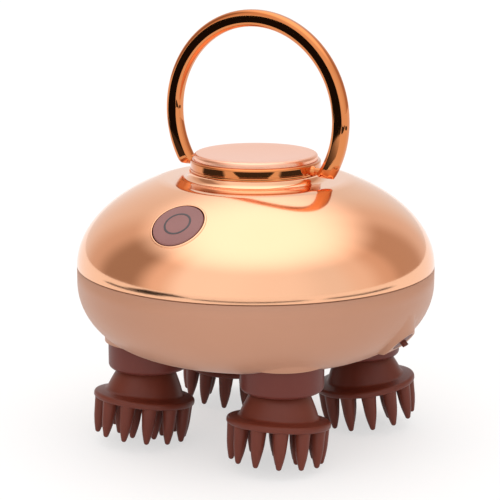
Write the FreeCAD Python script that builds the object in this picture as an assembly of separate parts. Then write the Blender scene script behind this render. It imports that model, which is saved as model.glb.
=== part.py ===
import FreeCAD, Part
import math
import os

# Body. Heights are measured up from the seam between the shells, depths down from it.
body_radius = 58.0
seam_height = 57.0
dome_rise = 33.4
bowl_depth = 26.8
bowl_wall_height = 5.0
bowl_corner = 24.0
shell_wall = 2.2
seam_reveal = 0.4
tongue_wall = 1.2
tongue_height = 2.4
snap_bead_radius = 0.35
snap_bead_rise = 1.4
gasket_thickness = 0.8
seat_clearance = 0.1
part_gap = 0.3
running_clearance = 0.04
overrun = 2.0

# Neck, collar and cap
shoulder_width = 6.925
shoulder_round = 10.0
neck_step = 0.3
neck_flare = 2.2
collar_height = 3.9
collar_edge_round = 0.8
collar_groove_depth = 0.25
collar_groove_width = 0.35
collar_groove_rise = 0.9
spigot_inset = 6.1
spigot_wall = 3.0
cap_inset = 1.1
cap_height = 1.9
cap_edge_round = 1.1
cap_rim_width = 4.5
cap_dish_depth = 0.35
cap_spigot_inset = 1.4
cap_spigot_depth = 1.2
collar_screw_radius = 1.1
collar_screw_head_radius = 2.0
collar_screw_head_height = 1.4
collar_screw_bite = 1.6
collar_screw_count = 3

# Ring handle
ring_outer_radius = 33.9
ring_band = 5.5
ring_width = 4.0
ring_edge_round = 1.6
ring_centre_over_pivot = 16.0
ring_foot_gap = 5.627
pivot_over_neck = 1.8
pivot_pin_radius = 1.2
pivot_ball_radius = 1.7
pivot_pin_depth = 2.2
pivot_pin_stop = 0.4

# Button and switch; the button lies on the dome, square to it
button_over_shoulder = 14.775
button_radius = 8.2
bezel_width = 0.65
bezel_stand = 0.25
button_stand = 0.4
button_travel = 0.6
button_flange_width = 1.0
button_flange_thickness = 1.0
button_stem_radius = 2.4
ring_mark_radius = 4.1
ring_mark_width = 0.65
ring_mark_depth = 0.6
ring_mark_stand = 0.06
plunger_radius = 1.7
plunger_height = 1.6
plunger_top_depth = 6.2
switch_side = 6.2
switch_height = 3.4
board_thickness = 1.2
switch_board_width = 31.0
switch_board_height = 12.0
switch_post_offset = 13.0
switch_post_radius = 1.9
board_screw_radius = 0.8
board_screw_head_radius = 1.5
board_screw_head_height = 1.0
board_screw_bite = 4.0

# Heads: spindle circle, sleeves and claws
head_inset = 22.5
head_lean = 8.0
sleeve_radius = 13.2
sleeve_wall = 1.8
sleeve_web = 2.0
sleeve_seat_rise = 4.5
sleeve_drop = 5.6
sleeve_edge_round = 1.5
turret_lip_rise = 3.4
turret_lip = 1.0
turret_root_rise = 11.0
turret_round = 1.2
bend_drop = 0.2
spindle_radius = 3.0
spindle_stub = 13.0
bush_wall = 1.8
bush_tube_wall = 1.8
lower_bush_top_depth = 17.6
seal_wall = 3.0
hub_radius = 6.0
hub_top = 4.2
hub_bottom = 15.0
neck_top = 5.0
claw_neck_radius = 8.6
claw_neck_foot_radius = 12.6
claw_neck_foot = 13.8
claw_neck_swell = 0.2
flange_radius = 16.4
flange_shoulder = 14.6
flange_bottom = 16.6
flange_edge_round = 0.8
outer_tooth_count = 12
inner_tooth_count = 6
outer_tooth_root_radius = 13.5
outer_tooth_tip_radius = 14.1
inner_tooth_circle = 7.0
tooth_root_radius = 2.6
tooth_waist_radius = 1.85
tooth_waist_share = 0.7
tooth_tip_radius = 0.9
tooth_root_sink = 1.0

# Gear train
gear_nominal_module = 1.0
head_teeth = 24
pressure_angle = 20.0
gear_backlash = 0.16
gear_top_depth = 12.0
gear_thickness = 4.6
gear_hub_rise = 2.6
gear_hub_wall = 2.4
gear_web_recess = 1.2
gear_rim = 2.6
motor_shaft_radius = 2.5
shaft_support_depth = 19.6
shaft_foot_depth = 23.0
shaft_post_radius = 5.0

# Chassis plate, geared motor and screws
plate_top_depth = 5.0
plate_thickness = 2.5
plate_edge_gap = 3.6
gearbox_radius = 12.2
gearbox_height = 11.0
gearbox_boss_radius = 5.0
gearbox_boss_depth = 1.8
motor_radius = 11.8
motor_height = 17.0
motor_edge_round = 1.5
motor_cap_radius = 4.5
motor_cap_height = 1.4
motor_screw_circle = 8.5
motor_screw_radius = 1.25
motor_screw_head_radius = 2.2
motor_screw_head_height = 1.4
motor_screw_bite = 5.0
motor_screw_count = 3
post_inset = 5.475
post_bearing = 70.0
post_radius = 3.5
plate_screw_radius = 1.5
plate_screw_head_radius = 2.8
plate_screw_head_height = 2.0
plate_screw_bite = 8.0

# Battery
cell_radius = 9.15
cell_length = 50.0
cell_motor_gap = 1.0
cell_edge_round = 0.8
cell_nub_radius = 2.8
cell_nub_height = 1.0
cradle_floor = 1.6
cradle_wall = 2.0
cradle_end_gap = 0.6
cradle_side_height = 8.0

# Charging inlet; the port axis points out and down
port_boss_setback = 0.6
port_boss_width = 13.0
port_boss_top_depth = 6.0
port_face_outer_depth = 15.6
port_face_slope = 45.0
port_face_length = 9.2
port_boss_round_share = 0.98
plug_radius = 3.6
plug_thickness = 1.6
plug_stem_radius = 1.15
plug_stem_length = 4.0
plug_tab_width = 2.4
plug_tab_length = 1.6
plug_tab_thickness = 0.9
inlet_bore_radius = 1.3
inlet_bore_depth = 7.0
socket_radius = 2.9
socket_length = 10.0
charge_board_length = 17.0
charge_board_width = 14.0
charge_board_inset = 17.525
charge_board_lift = 2.0
charge_post_radius = 1.8
charge_post_offset = 6.0
chip_length = 5.0
chip_width = 4.0
chip_height = 1.2

up = FreeCAD.Vector(0, 0, 1)
centre = FreeCAD.Vector(0, 0, 0)
ring_inner_radius = ring_outer_radius - ring_band
ring_mean_radius = ring_outer_radius - ring_band / 2
# half the span of the ring's feet, which stand clear of the collar
ring_foot_reach = math.sqrt(ring_mean_radius ** 2 - ring_centre_over_pivot ** 2)
collar_radius = ring_foot_reach - ring_foot_gap
spigot_radius = collar_radius - spigot_inset
cap_radius = collar_radius - cap_inset
cap_dish_radius = cap_radius - cap_rim_width
cap_spigot_radius = cap_radius - cap_spigot_inset
neck_radius = collar_radius + neck_step
shoulder_radius = neck_radius + neck_flare + shoulder_width
shoulder_rise = dome_rise * math.sqrt(1 - (shoulder_radius / body_radius) ** 2)
neck_top_height = seam_height + shoulder_rise + neck_flare
collar_top = neck_top_height + collar_height
pivot_height = neck_top_height + pivot_over_neck
ceiling = seam_height + shoulder_rise - shell_wall
plate_top = seam_height - plate_top_depth
plate_bottom = plate_top - plate_thickness
# the sleeves, their turrets and the spindles' bends keep to the bowl's floor
sleeve_top_depth = bowl_depth - sleeve_seat_rise
sleeve_bottom_depth = bowl_depth + sleeve_drop
turret_lip_depth = bowl_depth - turret_lip_rise
turret_top_depth = bowl_depth - turret_root_rise
bend_height = seam_height - bowl_depth - bend_drop
gear_top = seam_height - gear_top_depth
gear_bottom = gear_top - gear_thickness
bowl_floor_radius = body_radius - bowl_corner
bottom_depth = bowl_depth - shell_wall - bowl_wall_height
plate_depth_share = (plate_top_depth + plate_thickness - bowl_wall_height) / bottom_depth
bowl_inside_plate = bowl_floor_radius + (bowl_corner - shell_wall) * math.sqrt(1 - plate_depth_share ** 2)
plate_radius = bowl_inside_plate - plate_edge_gap
charge_board_centre = plate_radius - charge_board_inset
cell_offset = gearbox_radius + cell_motor_gap + cell_radius
port_boss_reach = body_radius - port_boss_setback
port_boss_round = port_boss_width / 2 * port_boss_round_share
head_circle_radius = body_radius - head_inset
# the drive gear takes the whole number of teeth that fills the space between the axes
drive_teeth = round(2 * head_circle_radius / gear_nominal_module) - head_teeth
gear_module = 2 * head_circle_radius / (drive_teeth + head_teeth)
tongue_radius = body_radius - shell_wall + tongue_wall
bush_radius = spindle_radius + running_clearance + bush_wall
socket_seat_radius = sleeve_radius + seat_clearance
head_names = ["front_right", "front_left", "rear_left", "rear_right"]
head_bearings = [-45.0, -135.0, 135.0, 45.0]
# Bearing towards which each head's foot leans at rest, from +X towards +Y
lean_bearings = [-86.0, -108.0, 148.0, 32.0]


def polar(radius, bearing, height=0):
    angle = math.radians(bearing)
    return FreeCAD.Vector(radius * math.cos(angle), radius * math.sin(angle), height)


def profile(radius, height):
    return FreeCAD.Vector(radius, 0, height)


def segment(start, end):
    return Part.LineSegment(start, end).toShape()


def quarter(centre_radius, centre_height, reach, rise):
    # quarter of an ellipse, from its outermost point to its highest or lowest one
    poles = [profile(centre_radius + reach, centre_height),
             profile(centre_radius + reach, centre_height + rise),
             profile(centre_radius, centre_height + rise)]
    curve = Part.BSplineCurve()
    curve.buildFromPolesMultsKnots(poles, [3, 3], [0, 1], False, 2, [1, math.sqrt(0.5), 1])
    return curve.toShape()


def arc(start, middle, end):
    return Part.Arc(start, middle, end).toShape()


def turned(edges):
    return Part.Face(Part.Wire(edges)).revolve(centre, up, 360)


def rod(radius, low, high, place=centre):
    return Part.makeCylinder(radius, high - low, FreeCAD.Vector(place.x, place.y, low))


def tube(outer, inner, low, high, place=centre):
    return rod(outer, low, high, place).cut(rod(inner, low, high, place))


def rounded_rod(radius, low, high, round_size):
    solid = rod(radius, low, high)
    rims = [edge for edge in solid.Edges if edge.Closed]
    return solid.makeFillet(round_size, rims)


def block(low, high):
    size = high - low
    return Part.makeBox(size.x, size.y, size.z, low)


def set_along(shape, place, direction):
    # lays a shape built along +Z at the origin along another axis
    moved = shape.copy()
    moved.Placement = FreeCAD.Placement(place, FreeCAD.Rotation(up, direction))
    return moved


def fused(shapes):
    return shapes[0].fuse(shapes[1:]).removeSplitter()


def head_places():
    return [polar(head_circle_radius, bearing) for bearing in head_bearings]


def post_places():
    bearings = [post_bearing, 180 - post_bearing, 180 + post_bearing, -post_bearing]
    return [polar(plate_radius - post_inset, bearing) for bearing in bearings]


def dome(grow):
    # the dome's solid, with its surface moved out by grow
    rim = profile(body_radius + grow, seam_height)
    top = profile(0, seam_height + dome_rise + grow)
    foot = profile(0, seam_height)
    curve = quarter(0, seam_height, body_radius + grow, dome_rise + grow)
    return turned([curve, segment(top, foot), segment(foot, rim)])


def bowl(shrink):
    # an upright wall under the seam, then the rounded bottom
    floor = seam_height - bowl_depth + shrink
    wall_foot = seam_height - bowl_wall_height
    curve = quarter(bowl_floor_radius, wall_foot, bowl_corner - shrink, floor - wall_foot)
    bend = profile(body_radius - shrink, wall_foot)
    corner = profile(bowl_floor_radius, floor)
    foot = profile(0, floor)
    top = profile(0, seam_height)
    rim = profile(body_radius - shrink, seam_height)
    return turned([segment(rim, bend), curve, segment(corner, foot), segment(foot, top), segment(top, rim)])


# Button frame: the point on the dome and the way square out of it
button_place_radius = shoulder_radius + button_over_shoulder
button_rise = dome_rise * math.sqrt(1 - (button_place_radius / body_radius) ** 2)
button_point = FreeCAD.Vector(0, -button_place_radius, seam_height + button_rise)
button_out = FreeCAD.Vector(0, -button_place_radius / body_radius ** 2, button_rise / dome_rise ** 2)
button_out.normalize()
bezel_inner_radius = button_radius + part_gap
bezel_outer_radius = bezel_inner_radius + bezel_width
board_top_depth = plunger_top_depth + plunger_height + switch_height
button_reach = board_top_depth + board_thickness


def button_rod(radius, low, high):
    return set_along(rod(radius, low, high), button_point, button_out)


def button_layer(radius, high_grow, low_grow):
    # a disc of the dome's own curve, between two surfaces beside the dome's
    core = button_rod(radius, -button_reach, button_reach)
    return core.common(dome(high_grow)).cut(dome(low_grow))


def switch_post_places():
    return [FreeCAD.Vector(side * switch_post_offset, 0, 0) for side in (-1, 1)]


def snap_bead(grow):
    # round bead on the tongue that the upper shell snaps over
    return Part.makeTorus(tongue_radius, snap_bead_radius + grow, up * (seam_height + snap_bead_rise))


def make_upper_shell():
    body = dome(0)
    flare_start = profile(neck_radius + neck_flare, seam_height + shoulder_rise)
    flare_end = profile(neck_radius, neck_top_height)
    flare_middle = flare_start - profile(neck_flare * math.sqrt(0.5), neck_flare * (math.sqrt(0.5) - 1))
    far_top = profile(body_radius, seam_height + dome_rise + overrun)
    near_top = profile(neck_radius, seam_height + dome_rise + overrun)
    far_low = profile(body_radius, seam_height + shoulder_rise)
    trim = turned([arc(flare_start, flare_middle, flare_end), segment(flare_end, near_top),
                   segment(near_top, far_top), segment(far_top, far_low), segment(far_low, flare_start)])
    body = body.cut(trim)
    body = body.cut(rod(neck_radius + overrun, neck_top_height, seam_height + dome_rise + overrun))
    shoulder = [edge for edge in body.Edges
                if abs(edge.BoundBox.ZMin - seam_height - shoulder_rise) < running_clearance
                and edge.BoundBox.ZLength < running_clearance
                and edge.BoundBox.XMax > neck_radius + neck_flare + overrun]
    body = body.makeFillet(shoulder_round, shoulder)
    hollow = dome(-shell_wall).common(rod(body_radius, seam_height - overrun, ceiling))
    body = body.cut(hollow)
    posts = []
    for place in switch_post_places():
        post = rod(switch_post_radius, -board_top_depth, 0, place)
        posts.append(set_along(post, button_point, button_out).common(dome(-shell_wall / 2)))
    body = fused([body] + posts)
    body = body.cut(rod(spigot_radius + seat_clearance, ceiling - overrun, neck_top_height + overrun))
    body = body.cut(rod(body_radius + overrun, seam_height - overrun, seam_height + seam_reveal).cut(
        rod(body_radius - shell_wall - overrun, seam_height - overrun, seam_height + seam_reveal)))
    body = body.cut(tube(tongue_radius + seat_clearance, body_radius - shell_wall - overrun,
                         seam_height - overrun, seam_height + tongue_height + gasket_thickness))
    body = body.cut(snap_bead(seat_clearance))
    opening = button_rod(bezel_outer_radius, -button_reach, button_reach)
    body = body.cut(opening.cut(dome(-shell_wall - overrun)))
    for place in switch_post_places():
        pilot = rod(board_screw_radius, -board_top_depth, board_screw_bite - board_top_depth, place)
        body = body.cut(set_along(pilot, button_point, button_out))
    for place in collar_screw_places():
        body = body.cut(rod(collar_screw_radius, ceiling - overrun, neck_top_height + overrun, place))
    return body


def port_frame():
    # the middle of the sloped port face and the way out of it
    slope = math.radians(port_face_slope)
    half = port_face_length / 2
    point = FreeCAD.Vector(port_boss_reach - half * math.cos(slope), 0,
                           seam_height - port_face_outer_depth - half * math.sin(slope))
    return point, FreeCAD.Vector(math.sin(slope), 0, -math.cos(slope))


port_point, port_out = port_frame()


def port_rod(radius, low, high):
    return set_along(rod(radius, low, high), port_point, port_out)


def make_port_boss():
    # block on the bowl's side, cut off square to the port's axis
    slope = math.radians(port_face_slope)
    floor = seam_height - port_face_outer_depth - port_face_length * math.sin(slope)
    boss = block(FreeCAD.Vector(bowl_floor_radius, -port_boss_width / 2, floor),
                 FreeCAD.Vector(port_boss_reach, port_boss_width / 2, seam_height - port_boss_top_depth))
    uprights = [edge for edge in boss.Edges if edge.BoundBox.ZLength > port_boss_round
                and edge.BoundBox.XMin > bowl_floor_radius + port_boss_round]
    boss = boss.makeFillet(port_boss_round, uprights)
    away = rod(body_radius, 0, body_radius)
    return boss.cut(set_along(away, port_point, port_out))


def turret_seams(shape, turret_radius, place):
    # the edges where one turret runs out of the bowl
    lip = seam_height - turret_lip_depth
    seams = []
    for edge in shape.Edges:
        points = edge.discretize(5)
        offs = [abs(math.hypot(point.x - place.x, point.y - place.y) - turret_radius) for point in points]
        if max(offs) < running_clearance and edge.BoundBox.ZMax > lip + running_clearance:
            seams.append(edge)
    return seams


def make_lower_shell():
    outer = bowl(0)
    turret_radius = socket_seat_radius + turret_lip
    lip = seam_height - turret_lip_depth
    for place in head_places():
        outer = fused([outer, rod(turret_radius, lip, seam_height - turret_top_depth, place)])
        outer = outer.makeFillet(turret_round, turret_seams(outer, turret_radius, place))
    outer = fused([outer, make_port_boss()])
    hollow = bowl(shell_wall)
    keep = [rod(turret_radius, seam_height - bowl_depth, seam_height - sleeve_top_depth + shell_wall, place)
            for place in head_places()]
    tube_radius = bush_radius + seat_clearance + bush_tube_wall
    keep += [rod(tube_radius, seam_height - bowl_depth, seam_height - lower_bush_top_depth, place)
             for place in head_places()]
    keep += [rod(post_radius, seam_height - bowl_depth, plate_bottom, place) for place in post_places()]
    keep.append(rod(shaft_post_radius, seam_height - bowl_depth, seam_height - shaft_support_depth))
    keep.append(port_rod(socket_radius + shell_wall, -socket_length + shell_wall, 0))
    for piece in keep:
        hollow = hollow.cut(piece)
    body = outer.cut(hollow)
    tongue = tube(tongue_radius, body_radius - shell_wall, seam_height - tongue_wall,
                  seam_height + tongue_height)
    body = fused([body, tongue, snap_bead(0).cut(rod(body_radius - shell_wall, 0, 2 * seam_height))])
    for place in head_places():
        body = body.cut(rod(socket_seat_radius, 0, seam_height - sleeve_top_depth, place))
        body = body.cut(rod(bush_radius + seat_clearance, 0, seam_height, place))
    for place in post_places():
        body = body.cut(rod(plate_screw_radius, plate_bottom - plate_screw_bite, seam_height, place))
    body = body.cut(rod(motor_shaft_radius + running_clearance, seam_height - shaft_foot_depth - part_gap,
                        seam_height))
    body = body.cut(port_rod(plug_radius + part_gap, -plug_thickness - part_gap, body_radius))
    body = body.cut(port_rod(socket_radius + seat_clearance, -socket_length - body_radius, 0))
    return body


def make_seam_gasket():
    inner = body_radius - shell_wall
    low = seam_height + tongue_height
    return tube(inner + tongue_wall, inner, low, low + gasket_thickness)


def pivot_pin(side):
    reach = ring_foot_reach + ring_band / 2 - pivot_pin_stop
    start = collar_radius - pivot_pin_depth
    axis = FreeCAD.Vector(side, 0, 0)
    foot = FreeCAD.Vector(side * start, 0, pivot_height)
    pin = Part.makeCylinder(pivot_pin_radius, reach - start, foot, axis)
    ball = Part.makeSphere(pivot_ball_radius, FreeCAD.Vector(side * collar_radius, 0, pivot_height))
    return fused([pin, ball])


def make_pivot_pins():
    return Part.makeCompound([pivot_pin(side) for side in (-1, 1)])


def make_ring_handle():
    half = ring_width / 2
    corner = ring_edge_round
    flat = half - corner
    diagonal = corner * math.sqrt(0.5)
    inner = ring_inner_radius
    outer = ring_outer_radius
    edges = [segment(profile(inner, -flat), profile(inner, flat)),
             arc(profile(inner, flat), profile(inner + corner - diagonal, flat + diagonal),
                 profile(inner + corner, half)),
             segment(profile(inner + corner, half), profile(outer - corner, half)),
             arc(profile(outer - corner, half), profile(outer - corner + diagonal, flat + diagonal),
                 profile(outer, flat)),
             segment(profile(outer, flat), profile(outer, -flat)),
             arc(profile(outer, -flat), profile(outer - corner + diagonal, -flat - diagonal),
                 profile(outer - corner, -half)),
             segment(profile(outer - corner, -half), profile(inner + corner, -half)),
             arc(profile(inner + corner, -half), profile(inner + corner - diagonal, -flat - diagonal),
                 profile(inner, -flat))]
    ring_centre = FreeCAD.Vector(0, 0, pivot_height + ring_centre_over_pivot)
    ring = set_along(turned(edges), ring_centre, FreeCAD.Vector(0, 1, 0))
    # the ends are half-round about the pivot axis
    top = ring_centre.z + ring_outer_radius + overrun
    span = block(FreeCAD.Vector(-ring_outer_radius - overrun, -half - overrun, pivot_height),
                 FreeCAD.Vector(ring_outer_radius + overrun, half + overrun, top))
    ends = Part.makeCylinder(half, 2 * (ring_outer_radius + overrun),
                             FreeCAD.Vector(-ring_outer_radius - overrun, 0, pivot_height),
                             FreeCAD.Vector(1, 0, 0))
    ring = ring.common(fused([span, ends]))
    hole = Part.makeCylinder(pivot_pin_radius + running_clearance, 2 * (ring_outer_radius + overrun),
                             FreeCAD.Vector(-ring_outer_radius - overrun, 0, pivot_height),
                             FreeCAD.Vector(1, 0, 0))
    return ring.cut(hole)


def collar_screw_places():
    circle = (spigot_radius + collar_radius) / 2
    return [polar(circle, 90 + index * 360 / collar_screw_count) for index in range(collar_screw_count)]


def make_handle_collar():
    band = rod(collar_radius, neck_top_height, collar_top)
    groove_low = neck_top_height + collar_groove_rise
    rim = [edge for edge in band.Edges if edge.Closed and edge.BoundBox.ZMin > groove_low]
    band = band.makeFillet(collar_edge_round, rim)
    band = band.cut(tube(collar_radius + overrun, collar_radius - collar_groove_depth, groove_low,
                         groove_low + collar_groove_width))
    body = fused([band, rod(spigot_radius, ceiling, neck_top_height)])
    body = body.cut(rod(spigot_radius - spigot_wall, ceiling - overrun, collar_top + overrun))
    cap_seat = collar_top - cap_spigot_depth
    body = body.cut(rod(cap_spigot_radius + seat_clearance, cap_seat, collar_top + overrun))
    for side in (-1, 1):
        body = body.cut(pivot_pin(side))
    for place in collar_screw_places():
        body = body.cut(rod(collar_screw_radius, neck_top_height, neck_top_height + collar_screw_bite, place))
    return body


def make_collar_screws():
    screws = []
    for place in collar_screw_places():
        shank = rod(collar_screw_radius, ceiling, neck_top_height + collar_screw_bite, place)
        head = rod(collar_screw_head_radius, ceiling - collar_screw_head_height, ceiling, place)
        screws.append(fused([shank, head]))
    return Part.makeCompound(screws)


def make_top_cap():
    disc = rod(cap_radius, collar_top, collar_top + cap_height)
    rim = [edge for edge in disc.Edges if edge.Closed and edge.BoundBox.ZMin > collar_top + cap_edge_round]
    disc = disc.makeFillet(cap_edge_round, rim)
    cap = fused([disc, rod(cap_spigot_radius, collar_top - cap_spigot_depth, collar_top)])
    ball_radius = (cap_dish_radius ** 2 + cap_dish_depth ** 2) / (2 * cap_dish_depth)
    dish = Part.makeSphere(ball_radius, up * (collar_top + cap_height + ball_radius - cap_dish_depth))
    return cap.cut(dish)


def make_button_bezel():
    ring = button_layer(bezel_outer_radius, bezel_stand, -shell_wall)
    return ring.cut(button_rod(bezel_inner_radius, -button_reach, button_reach))


def ring_mark():
    half = ring_mark_width / 2
    ring = button_layer(ring_mark_radius + half, button_stand + ring_mark_stand,
                        button_stand - ring_mark_depth)
    return ring.cut(button_rod(ring_mark_radius - half, -button_reach, button_reach))


def make_power_button():
    face = button_layer(button_radius, button_stand, -shell_wall - part_gap)
    flange_top = -shell_wall - part_gap
    flange = button_layer(bezel_outer_radius + button_flange_width - part_gap, flange_top,
                          flange_top - button_flange_thickness)
    stem = button_rod(button_stem_radius, -plunger_top_depth, -shell_wall)
    return fused([face, flange, stem]).cut(ring_mark())


def make_switch_plunger():
    return button_rod(plunger_radius, -plunger_top_depth - plunger_height - button_travel, -plunger_top_depth)


def make_tact_switch():
    half = switch_side / 2
    top = -plunger_top_depth - plunger_height
    body = block(FreeCAD.Vector(-half, -half, top - switch_height), FreeCAD.Vector(half, half, top))
    well = rod(plunger_radius + running_clearance, top - 2 * button_travel - part_gap, top)
    return set_along(body.cut(well), button_point, button_out)


def make_switch_board():
    board = block(FreeCAD.Vector(-switch_board_width / 2, -switch_board_height / 2, -button_reach),
                  FreeCAD.Vector(switch_board_width / 2, switch_board_height / 2, -board_top_depth))
    for place in switch_post_places():
        board = board.cut(rod(board_screw_radius + seat_clearance, -button_reach, -board_top_depth, place))
    return set_along(board, button_point, button_out)


def switch_screws():
    screws = []
    for place in switch_post_places():
        shank = rod(board_screw_radius, -button_reach, board_screw_bite - board_top_depth, place)
        head = rod(board_screw_head_radius, -button_reach - board_screw_head_height, -button_reach, place)
        screws.append(set_along(fused([shank, head]), button_point, button_out))
    return screws


def make_sleeve(place):
    top = seam_height - sleeve_top_depth
    bottom = seam_height - sleeve_bottom_depth
    cup = rod(sleeve_radius, bottom, top, place)
    rim = [edge for edge in cup.Edges if edge.Closed and edge.BoundBox.ZMax < bottom + sleeve_edge_round]
    cup = cup.makeFillet(sleeve_edge_round, rim)
    cup = cup.cut(rod(sleeve_radius - sleeve_wall, bottom - overrun, top - sleeve_web, place))
    return cup.cut(rod(spindle_radius + running_clearance + seal_wall, bottom, top + overrun, place))


def make_shaft_seals():
    top = seam_height - sleeve_top_depth
    outer = spindle_radius + running_clearance + seal_wall
    return Part.makeCompound([tube(outer, spindle_radius + running_clearance, top - sleeve_web, top, place)
                              for place in head_places()])


def make_lower_bushes():
    low = seam_height - sleeve_top_depth
    high = seam_height - lower_bush_top_depth
    return Part.makeCompound([tube(bush_radius, spindle_radius + running_clearance, low, high, place)
                              for place in head_places()])


def make_upper_bushes():
    bore = spindle_radius + running_clearance
    return Part.makeCompound([tube(bush_radius, bore, plate_bottom, plate_top, place)
                              for place in head_places()])


def set_head(shape, place, bearing):
    # a head is built hanging down from the origin; its own +X leans to the given bearing
    spin = FreeCAD.Rotation(up, bearing)
    tilt = FreeCAD.Rotation(FreeCAD.Vector(0, 1, 0), -head_lean)
    moved = shape.copy()
    moved.Placement = FreeCAD.Placement(place + up * bend_height, spin * tilt)
    return moved


def make_spindle(place, bearing):
    upright = rod(spindle_radius, bend_height, plate_top - part_gap, place)
    knuckle = Part.makeSphere(spindle_radius, place + up * bend_height)
    stub = set_head(rod(spindle_radius, -spindle_stub, 0), place, bearing)
    return fused([upright, knuckle, stub])


def hub_core():
    return rod(hub_radius, -hub_bottom, -hub_top)


def make_hub(place, bearing):
    bore = rod(spindle_radius, -spindle_stub, 0)
    return set_head(hub_core().cut(bore), place, bearing)


def tooth(root, tip):
    # tapered rod with a ball end, from a point on the flange to its tip
    way = tip - root
    waist = way.Length * tooth_waist_share
    upper = Part.makeCone(tooth_root_radius, tooth_waist_radius, waist)
    lower = Part.makeCone(tooth_waist_radius, tooth_tip_radius, way.Length - waist, up * waist)
    cone = set_along(upper.fuse(lower), root, way)
    return cone.fuse(Part.makeSphere(tooth_tip_radius, tip))


def tooth_tip_depth():
    # the lowest ball of the leaning head just touches the floor
    tilt = math.radians(head_lean)
    return (bend_height - tooth_tip_radius - outer_tooth_tip_radius * math.sin(tilt)) / math.cos(tilt)


def make_claw():
    middle_radius = (claw_neck_radius + claw_neck_foot_radius) / 2 + claw_neck_swell
    middle = (neck_top + claw_neck_foot) / 2
    rim_top = flange_shoulder + flange_edge_round
    inset = flange_edge_round * (1 - math.sqrt(0.5))
    low = profile(flange_radius, -flange_bottom + flange_edge_round)
    foot = profile(flange_radius - flange_edge_round, -flange_bottom)
    edges = [segment(profile(0, -neck_top), profile(claw_neck_radius, -neck_top)),
             arc(profile(claw_neck_radius, -neck_top), profile(middle_radius, -middle),
                 profile(claw_neck_foot_radius, -claw_neck_foot)),
             segment(profile(claw_neck_foot_radius, -claw_neck_foot),
                     profile(flange_radius - flange_edge_round, -flange_shoulder)),
             arc(profile(flange_radius - flange_edge_round, -flange_shoulder),
                 profile(flange_radius - inset, -flange_shoulder - inset), profile(flange_radius, -rim_top)),
             segment(profile(flange_radius, -rim_top), low),
             arc(low, profile(flange_radius - inset, -flange_bottom + inset), foot),
             segment(foot, profile(0, -flange_bottom)),
             segment(profile(0, -flange_bottom), profile(0, -neck_top))]
    claw = turned(edges)
    teeth = []
    root_depth = flange_bottom - tooth_root_sink
    for index in range(outer_tooth_count):
        bearing = index * 360 / outer_tooth_count
        teeth.append(tooth(polar(outer_tooth_root_radius, bearing, -root_depth),
                           polar(outer_tooth_tip_radius, bearing, -tooth_tip_depth())))
    for index in range(inner_tooth_count):
        bearing = (index + 1 / 2) * 360 / inner_tooth_count
        teeth.append(tooth(polar(inner_tooth_circle, bearing, -root_depth),
                           polar(inner_tooth_circle, bearing, -tooth_tip_depth())))
    claw = claw.fuse(teeth)
    claw = claw.cut(hub_core())
    return claw.removeSplitter()


def involute_point(base_radius, roll, turn):
    angle = turn + roll - math.atan(roll)
    radius = base_radius * math.sqrt(1 + roll ** 2)
    return FreeCAD.Vector(radius * math.cos(angle), radius * math.sin(angle), 0)


def gear_outline(teeth):
    # spur gear outline with one tooth centred on +X
    pitch_radius = gear_module * teeth / 2
    press = math.radians(pressure_angle)
    base_radius = pitch_radius * math.cos(press)
    tip_radius = pitch_radius + gear_module
    root_radius = pitch_radius - 1.25 * gear_module
    start_radius = max(base_radius, root_radius)
    half_tooth = math.pi / (2 * teeth) - gear_backlash / (4 * pitch_radius)
    turn = half_tooth + math.tan(press) - press
    first = math.sqrt((start_radius / base_radius) ** 2 - 1)
    last = math.sqrt((tip_radius / base_radius) ** 2 - 1)
    rolls = [first + (last - first) * step / 4 for step in range(5)]
    lower = [involute_point(base_radius, roll, -turn) for roll in rolls]
    upper = [FreeCAD.Vector(point.x, -point.y, 0) for point in reversed(lower)]
    edges = []
    for index in range(teeth):
        step = FreeCAD.Rotation(up, index * 360 / teeth)
        ahead = FreeCAD.Rotation(up, (index + 1) * 360 / teeth)
        rising = [step.multVec(point) for point in lower]
        falling = [step.multVec(point) for point in upper]
        root_angle = math.atan2(upper[-1].y, upper[-1].x)
        root_out = step.multVec(polar(root_radius, math.degrees(root_angle)))
        root_in = ahead.multVec(polar(root_radius, -math.degrees(root_angle)))
        root_mid = step.multVec(polar(root_radius, 180 / teeth))
        next_start = ahead.multVec(lower[0])
        for points in (rising, falling):
            flank = Part.BSplineCurve()
            flank.interpolate(points)
            edges.append(flank.toShape())
            if points is rising:
                edges.append(arc(rising[-1], step.multVec(polar(tip_radius, 0)), falling[0]))
        if start_radius > root_radius:
            edges.append(segment(falling[-1], root_out))
        edges.append(arc(root_out, root_mid, root_in))
        if start_radius > root_radius:
            edges.append(segment(root_in, next_start))
    return Part.Face(Part.Wire(edges))


def gear(teeth, bore):
    # toothed disc with a recessed web and a raised hub, standing on z = 0
    solid = gear_outline(teeth).extrude(up * gear_thickness)
    rim = gear_module * teeth / 2 - 1.25 * gear_module - gear_rim
    hub = bore + gear_hub_wall
    solid = solid.cut(tube(rim, hub, gear_thickness - gear_web_recess, gear_thickness + overrun))
    solid = solid.fuse(rod(hub, gear_thickness - gear_web_recess, gear_thickness + gear_hub_rise))
    return solid.cut(rod(bore, -overrun, gear_thickness + gear_hub_rise + overrun)).removeSplitter()


def make_drive_gear():
    return set_along(gear(drive_teeth, motor_shaft_radius), up * gear_bottom, up)


def mesh_turn(bearing):
    # turn of a head gear that sets one of its gaps on the drive gear's tooth
    pitch = 360 / drive_teeth
    off = round(bearing / pitch) * pitch - bearing
    return bearing + 180 - off * drive_teeth / head_teeth + 180 / head_teeth


def make_head_gear(place, bearing):
    wheel = gear(head_teeth, spindle_radius)
    turn = FreeCAD.Rotation(up, mesh_turn(bearing))
    wheel.Placement = FreeCAD.Placement(place + up * gear_bottom, turn)
    return wheel


def make_output_shaft():
    return rod(motor_shaft_radius, seam_height - shaft_foot_depth, plate_top + gearbox_height / 2)


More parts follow.
